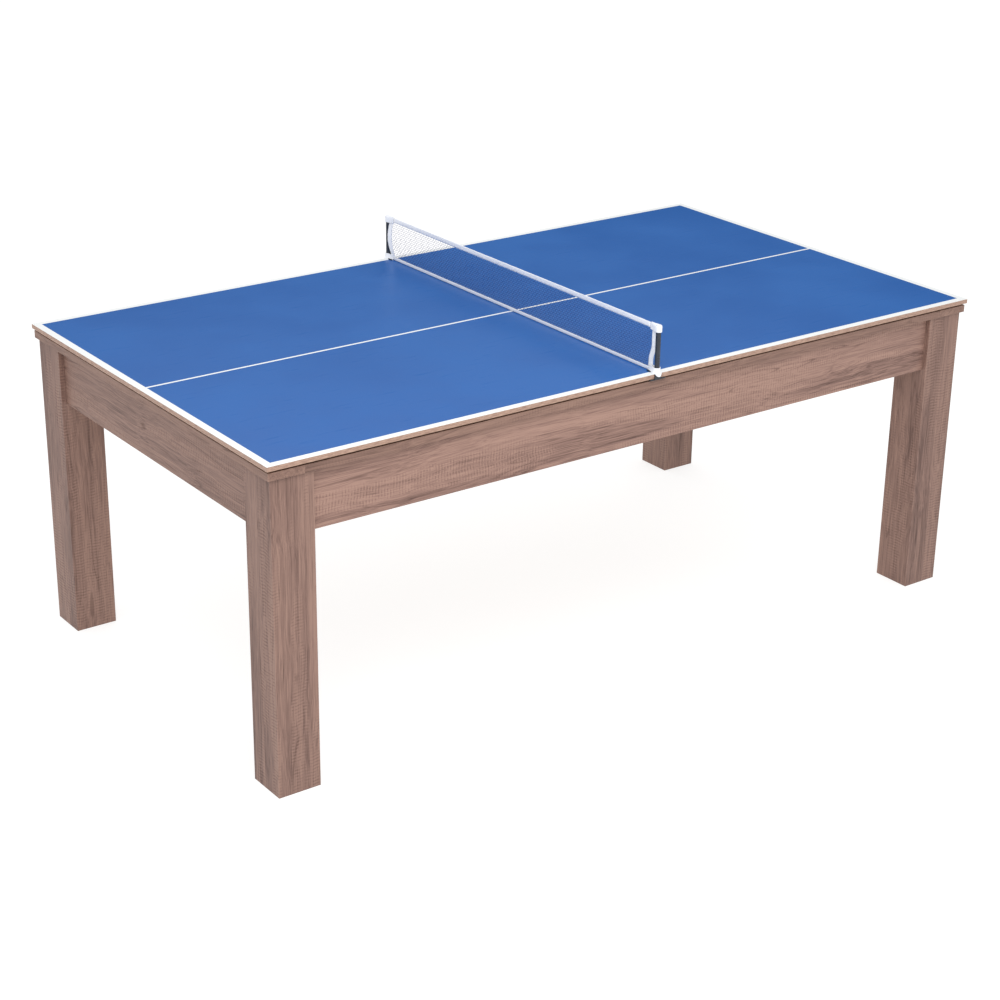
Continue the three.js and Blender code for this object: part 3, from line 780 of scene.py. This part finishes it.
def sleeve(name, side_y, bottom, top, dome=0.0, sag=0.0, flare=0.0):
    """A sewn sleeve about a post: domed and closed on top, or open, flared and sagging at its foot."""
    plan = sleeve_plan()
    mesh = bpy.data.meshes.new(name)
    shape = bmesh.new()
    rings = []
    for k in range(SLEEVE_RINGS + 1):
        share = k / SLEEVE_RINGS
        ring = []
        for i, (across, outwards) in enumerate(plan):
            past = max(0.0, outwards / sleeve_radius - SAG_START) / (1.0 - SAG_START)
            hang = sag * past**0.8
            foot = bottom - hang + CREASE * waver(i * 0.5, side_y * 9, bottom * 50)
            height = foot + share * (top - foot)
            into_dome = max(0.0, (height - (top - dome)) / dome) if dome else 0.0
            narrow = math.sqrt(max(0.0, 1.0 - into_dome**2))
            drawn_in = 1.0 - DOME_DRAW * (1.0 - narrow)
            crease = 1.0 + CREASE_DEPTH * waver(i * 0.35, height * 160, side_y * 5)
            spread = flare * max(0.0, 1.0 - share / FLARE_REACH) ** 1.5
            swell = (sleeve_radius + spread) / sleeve_radius
            x = across * narrow * crease * swell + math.copysign(spread * 0.8, across) * (outwards < 0)
            y = side_y * (post_y + outwards * drawn_in * (crease * swell if outwards > 0 else 1.0))
            ring.append(shape.verts.new((x, y, height)))
        rings.append(ring)
    for low, high in zip(rings, rings[1:]):
        for i in range(len(plan) - 1):
            shape.faces.new((low[i], low[i + 1], high[i + 1], high[i])).smooth = True
    if dome:
        bmesh.ops.remove_doubles(shape, verts=rings[-1], dist=MERGE)
    bmesh.ops.recalc_face_normals(shape, faces=shape.faces)
    middle = Vector((0, side_y * post_y, (bottom + top) / 2))
    outer = max(shape.faces, key=lambda f: abs(f.calc_center_median().x))
    if outer.normal.dot(outer.calc_center_median() - middle) < 0:
        bmesh.ops.reverse_faces(shape, faces=shape.faces)
    shape.to_mesh(mesh)
    shape.free()
    return walled(added(name, mesh, white_tape), SLEEVE_WALL, -1)


head_tape = stand_for(tape("net_head_tape", head_bottom, TAPE_HEIGHT, True), "net_headband")
foot_tape = tape("net_foot_tape", foot_bottom, FOOT_TAPE_HEIGHT, False)
stand_for(foot_tape, "net_footband")
loop_foot = board_top + CREASE
for side, side_y in (("front", -1), ("back", 1)):
    hood = sleeve(f"net_hood_{side}", side_y, hood_top - HOOD_HEIGHT, hood_top, dome=DOME)
    loop_top = loop_foot + LOOP_HEIGHT
    loop = sleeve(f"net_foot_loop_{side}", side_y, loop_foot, loop_top, sag=LOOP_SAG, flare=LOOP_FLARE)
    for piece in (hood, loop):
        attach(piece, "net")


# ---- Side tapes and netting ---------------------------------------------------------------------
# A tape hems each end of the netting and hangs slack beside the post, so it snakes a little.
# The netting is knotted from fine navy twine and follows its hems.

HEM_ROWS = 48
HEM_COLUMNS = 6
HEM_LAP = 0.005
HEM_WALL = 0.0012
TWINE_RADIUS = 0.00035
MESH_PITCH = 0.0055
MESH_ZIGZAG = 0.00025
KNOT_RADIUS = 0.00042
SLACK_REACH = 0.10
BILLOW = 0.0022
CRUMPLE = 0.004
NETTING_LEAN = 0.55
HEM_CURL = 0.0007
FRONT_SLIP = (0.004, 0.0155)
FRONT_BEND = (0.2, 0.6)
BACK_SLIP = 0.0135
BACK_BEND = 0.25
FRONT_LEAN = 0.0016
BACK_LEAN = 0.0080

hem_width = hem_high.y - hem_low.y
net_width = net_high.y - net_low.y


def eased_step(value, low, high):
    """0 below low, 1 above high, and a smooth rise between them."""
    share = min(1.0, max(0.0, (value - low) / (high - low)))
    return share * share * (3 - 2 * share)


def hem_shift(side_y, share):
    """How far a side tape has slipped outwards at a share of its height: the back one bows
    past its post."""
    if side_y < 0:
        low, high = FRONT_SLIP
        return low + (high - low) * eased_step(share, *FRONT_BEND)
    return BACK_SLIP * (1 - math.exp(-share / BACK_BEND))


def hem_lean(side_y, share):
    """How far it stands off the net's plane there, to pass beside the post."""
    if side_y < 0:
        return FRONT_LEAN * math.sin(math.tau * share)
    return -BACK_LEAN * math.sin(math.pi * share) ** 1.5


def lean_across(side_y, share, across):
    """The same, at a share of the tape's width from the netting, which leans less."""
    return hem_lean(side_y, share) * (NETTING_LEAN + (1.0 - NETTING_LEAN) * across)


def side_tape(name, side_y):
    """A strip as long as the netting is high, with a lap at each end, curled a little across."""
    mesh = bpy.data.meshes.new(name)
    shape = bmesh.new()
    low, high = netting_low - HEM_LAP, net_high.z + HEM_LAP
    rows = []
    for r in range(HEM_ROWS + 1):
        share = r / HEM_ROWS
        row = []
        for c in range(HEM_COLUMNS + 1):
            across = c / HEM_COLUMNS
            y = side_y * (tape_end + hem_shift(side_y, share) + (across - 0.5) * hem_width)
            curl = HEM_CURL * math.sin(math.pi * across) * waver(share * 9, side_y * 3, 0)
            x = lean_across(side_y, share, across) + curl
            row.append(shape.verts.new((x, y, low + share * (high - low))))
        rows.append(row)
    for low_row, high_row in zip(rows, rows[1:]):
        for c in range(HEM_COLUMNS):
            shape.faces.new((low_row[c], low_row[c + 1], high_row[c + 1], high_row[c])).smooth = True
    bmesh.ops.recalc_face_normals(shape, faces=shape.faces)
    shape.to_mesh(mesh)
    shape.free()
    return walled(added(name, mesh, white_tape), HEM_WALL, 0)


for side, side_y in (("front", -1), ("back", 1)):
    node = f"net_side_tape_{side}"
    hem = stand_for(side_tape(f"net_hem_{side}", side_y), node)


TWINE_DARK = (0.016, 0.028, 0.150, 1)
TWINE_LIGHT = (0.036, 0.056, 0.250, 1)


def twine_finish():
    """Navy cord, darker and lighter along its plies."""
    material, tree, shader, place = finish_of("navy_twine", 0.8)
    ply = grain_noise(tree, place, (900.0, 900.0, 900.0), 2.0)
    base = mixed(tree, ramp(tree, ply, 0.35, 0.65), TWINE_DARK, TWINE_LIGHT)
    tree.links.new(base, shader.inputs["Base Color"])
    raise_surface(tree, shader, ply, 0.00006)
    return material


navy_twine = twine_finish()


def netting_lines():
    """The netting as staggered six-sided meshes that follow the hems and billow a little."""
    columns = round(net_width / MESH_PITCH)
    rows = round(netting_height / MESH_PITCH)
    points = []
    edges = []
    for r in range(rows + 1):
        share = r / rows
        for c in range(columns + 1):
            here = r * (columns + 1) + c
            y = net_low.y + net_width * c / columns
            side_y = -1 if y < 0 else 1
            near_hem = math.exp(-(net_high.y - abs(y)) / SLACK_REACH)
            slack = math.sin(math.pi * share)
            lean = lean_across(side_y, share, 0.0) * near_hem
            billow = BILLOW * slack * waver(y * 7, share * 2, 3.0)
            crumple = CRUMPLE * near_hem * (1 - share) * waver(y * 60, share * 5, 9.0)
            zigzag = MESH_ZIGZAG * (1 if (r + c) % 2 else -1) * (0 < r < rows)
            z = netting_low + share * netting_height + zigzag
            points.append((lean + billow + crumple, y + side_y * hem_shift(side_y, share) * near_hem, z))
            if c < columns:
                edges.append((here, here + 1))
            if r < rows and (r + c) % 2:
                edges.append((here, here + columns + 1))
    mesh = bpy.data.meshes.new("netting_lines")
    mesh.from_pydata(points, edges, [])
    return mesh


def nodes_tree(name, inputs):
    """A geometry node tree with named inputs: the tree, what comes in and where the geometry goes out."""
    tree = bpy.data.node_groups.new(name, "GeometryNodeTree")
    tree.interface.new_socket("Geometry", in_out="INPUT", socket_type="NodeSocketGeometry")
    for label, kind in inputs.items():
        tree.interface.new_socket(label, in_out="INPUT", socket_type=kind)
    tree.interface.new_socket("Geometry", in_out="OUTPUT", socket_type="NodeSocketGeometry")
    return tree, tree.nodes.new("NodeGroupInput").outputs, tree.nodes.new("NodeGroupOutput").inputs


def grown(name, mesh, tree, values):
    """A mesh put through a node tree and taken back as a plain mesh."""
    seed = added(name + "_lines", mesh)
    growth = seed.modifiers.new("growth", "NODES")
    growth.node_group = tree
    for item in tree.interface.items_tree:
        if item.in_out == "INPUT" and item.name in values:
            growth[item.identifier] = values[item.name]
    plain = bpy.data.meshes.new_from_object(seed.evaluated_get(bpy.context.evaluated_depsgraph_get()))
    plain.name = name
    bpy.data.objects.remove(seed)
    piece = bpy.data.objects.new(name, plain)
    bpy.context.scene.collection.objects.link(piece)
    return piece


def closed_off(tree, geometry, material, out):
    """The end of every tree: instances made real and the material set."""
    real = put(tree, "GeometryNodeRealizeInstances", {"Geometry": geometry}).outputs[0]
    painted = put(tree, "GeometryNodeSetMaterial", {"Geometry": real, "Material": material}).outputs[0]
    tree.links.new(painted, out["Geometry"])


def make_knotted_net():
    size = "NodeSocketFloat"
    coming_in = {"Twine Radius": size, "Knot Radius": size, "Material": "NodeSocketMaterial"}
    tree, given, out = nodes_tree("knotted_net", coming_in)
    lines = put(tree, "GeometryNodeMeshToCurve", {"Mesh": given["Geometry"]}).outputs[0]
    round_section = {"Resolution": 4, "Radius": given["Twine Radius"]}
    section = put(tree, "GeometryNodeCurvePrimitiveCircle", round_section).outputs[0]
    run = {"Curve": lines, "Profile Curve": section, "Fill Caps": True}
    twine = put(tree, "GeometryNodeCurveToMesh", run).outputs[0]
    ball = {"Radius": given["Knot Radius"], "Subdivisions": 1}
    knot = put(tree, "GeometryNodeMeshIcoSphere", ball).outputs[0]
    tied = {"Points": given["Geometry"], "Instance": knot}
    knots = put(tree, "GeometryNodeInstanceOnPoints", tied).outputs[0]
    both = tree.nodes.new("GeometryNodeJoinGeometry")
    tree.links.new(knots, both.inputs[0])
    tree.links.new(twine, both.inputs[0])
    closed_off(tree, both.outputs[0], given["Material"], out)
    return tree


netting = grown(
    "netting",
    netting_lines(),
    make_knotted_net(),
    {"Twine Radius": TWINE_RADIUS, "Knot Radius": KNOT_RADIUS, "Material": navy_twine},
)
stand_for(netting, "net_mesh")


# ---- Stitching ----------------------------------------------------------------------------------
# White lockstitch holds the folded tapes and the side tapes to the netting. It shows as a row
# of short raised threads on both sides of each tape.

STITCH_PITCH = 0.0034
STITCH_LENGTH = 0.0025
STITCH_RADIUS = 0.00022
STITCH_PROUD = 0.0001
SEAM_INSET = 0.0018
TAPE_SEAM_STEPS = 100
HEM_SEAM_STEPS = 60


def make_stitches():
    size = "NodeSocketFloat"
    coming_in = {"Pitch": size, "Length": size, "Radius": size, "Material": "NodeSocketMaterial"}
    tree, given, out = nodes_tree("stitches", coming_in)
    line = put(tree, "GeometryNodeMeshToCurve", {"Mesh": given["Geometry"]}).outputs[0]
    spacing = {"Curve": line, "Length": given["Pitch"]}
    spots = put(tree, "GeometryNodeCurveToPoints", spacing, mode="LENGTH").outputs
    sizes = {"Vertices": 5, "Radius": given["Radius"], "Depth": given["Length"]}
    thread = put(tree, "GeometryNodeMeshCylinder", sizes).outputs["Mesh"]
    laid = {"Points": spots["Points"], "Instance": thread, "Rotation": spots["Rotation"]}
    stitches = put(tree, "GeometryNodeInstanceOnPoints", laid).outputs[0]
    closed_off(tree, stitches, given["Material"], out)
    return tree


def tape_seam(height, face):
    """A stitched line along a folded tape, on one of its faces."""
    ends = (tape_end * (2 * k / TAPE_SEAM_STEPS - 1) for k in range(TAPE_SEAM_STEPS + 1))
    return [(face * TAPE_HALF * 1.1, y, height) for y in ends]


def hem_seam(side_y, face):
    """A stitched line down a side tape, on one of its faces."""
    line = []
    for k in range(HEM_SEAM_STEPS + 1):
        share = k / HEM_SEAM_STEPS
        y = side_y * (tape_end + hem_shift(side_y, share) - hem_width / 2 + SEAM_INSET)
        x = lean_across(side_y, share, SEAM_INSET / hem_width) + face * (HEM_WALL / 2 + STITCH_PROUD)
        line.append((x, y, netting_low + share * netting_height))
    return line


def seam_lines():
    lines = []
    for face in (-1, 1):
        lines += [tape_seam(height, face) for height in (head_bottom + SEAM_INSET, foot_top - SEAM_INSET)]
        lines += [hem_seam(side_y, face) for side_y in (-1, 1)]
    return lines


def polylines(lines):
    """One mesh of loose edges that holds every line."""
    points = []
    edges = []
    for line in lines:
        first = len(points)
        points += line
        edges += [(first + k, first + k + 1) for k in range(len(line) - 1)]
    mesh = bpy.data.meshes.new("lines")
    mesh.from_pydata(points, edges, [])
    return mesh


stitching = grown(
    "net_stitching",
    polylines(seam_lines()),
    make_stitches(),
    {"Pitch": STITCH_PITCH, "Length": STITCH_LENGTH, "Radius": STITCH_RADIUS, "Material": white_tape},
)
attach(stitching, "net")


# ---- Floor, lights and camera ---------------------------------------------------------------------
# A seamless pale floor, an even white surround and two broad soft lights. What shines sees
# the surround only overhead, so the satin paint keeps its colour.

FLOOR_REACH = 60.0
FLOOR_GREY = 0.35
FLOOR_GLOW = 0.78
SURROUND_LIGHT = 0.80
SURROUND_GLOSS = 0.50

floor_mesh = bpy.data.meshes.new("studio_floor")
corners = [(x * FLOOR_REACH, y * FLOOR_REACH, 0.0) for x, y in ((-1, -1), (1, -1), (1, 1), (-1, 1))]
floor_mesh.from_pydata(corners, [], [(0, 1, 2, 3)])
floor_paint = bpy.data.materials.new("studio_floor")
floor_paint.use_nodes = True
floor_shader = floor_paint.node_tree.nodes["Principled BSDF"]
floor_shader.inputs["Base Color"].default_value = (FLOOR_GREY, FLOOR_GREY, FLOOR_GREY, 1)
floor_shader.inputs["Roughness"].default_value = 0.9
floor_shader.inputs["Specular IOR Level"].default_value = 0.0
floor_shader.inputs["Emission Color"].default_value = (1, 1, 1, 1)
floor_shader.inputs["Emission Strength"].default_value = FLOOR_GLOW
added("studio_floor", floor_mesh, floor_paint)

surround = bpy.data.worlds.new("surround")
surround.use_nodes = True
air = surround.node_tree
direction = put(air, "ShaderNodeTexCoord").outputs["Generated"]
upwards = put(air, "ShaderNodeSeparateXYZ", {0: direction}).outputs[2]
dimmed = ramp(air, upwards, 0.24, 0.52, 0.0, SURROUND_GLOSS)
ray = put(air, "ShaderNodeLightPath").outputs
lit = {0: ray["Is Glossy Ray"], 2: SURROUND_LIGHT, 3: dimmed}
strength = put(air, "ShaderNodeMix", lit).outputs[0]
strength = calc(air, "MAXIMUM", strength, ray["Is Camera Ray"])
air.links.new(strength, air.nodes["Background"].inputs["Strength"])
air.nodes["Background"].inputs["Color"].default_value = (1, 1, 1, 1)
bpy.context.scene.world = surround


def soft_light(name, place, aim, size, power):
    """A broad lamp at a place, turned towards its aim."""
    lamp = bpy.data.lights.new(name, "AREA")
    lamp.shape = "RECTANGLE"
    lamp.size, lamp.size_y = size
    lamp.energy = power
    holder = bpy.data.objects.new(name, lamp)
    holder.location = place
    holder.rotation_euler = (Vector(aim) - Vector(place)).to_track_quat("-Z", "Y").to_euler()
    bpy.context.scene.collection.objects.link(holder)


soft_light("key", place=(-1.6, -2.8, 3.5), aim=(-0.4, 0, 0.6), size=(3.0, 2.0), power=78)
soft_light("sheen", place=(1.7, 2.85, 3.5), aim=(-0.9, -0.45, 0.8), size=(4.0, 0.8), power=30)

CAMERA_PLACE = (-3.1265, -4.2260, 2.4917)
CAMERA_YAW = math.radians(36.231)
CAMERA_PITCH = math.radians(22.784)
CAMERA_ROLL = math.radians(0.799)
SENSOR = 36.0
LENS = 76.74

lens = bpy.data.cameras.new("camera")
lens.sensor_width = SENSOR
lens.lens = LENS
lens.clip_end = 200.0
camera = bpy.data.objects.new("camera", lens)
looking = Euler((math.pi / 2 - CAMERA_PITCH, 0.0, -CAMERA_YAW)).to_matrix()
turned_to = looking @ Matrix.Rotation(CAMERA_ROLL, 3, "Z")
camera.matrix_world = Matrix.LocRotScale(Vector(CAMERA_PLACE), turned_to, None)
bpy.context.scene.collection.objects.link(camera)
bpy.context.scene.camera = camera
bpy.context.scene.view_settings.view_transform = "Standard"
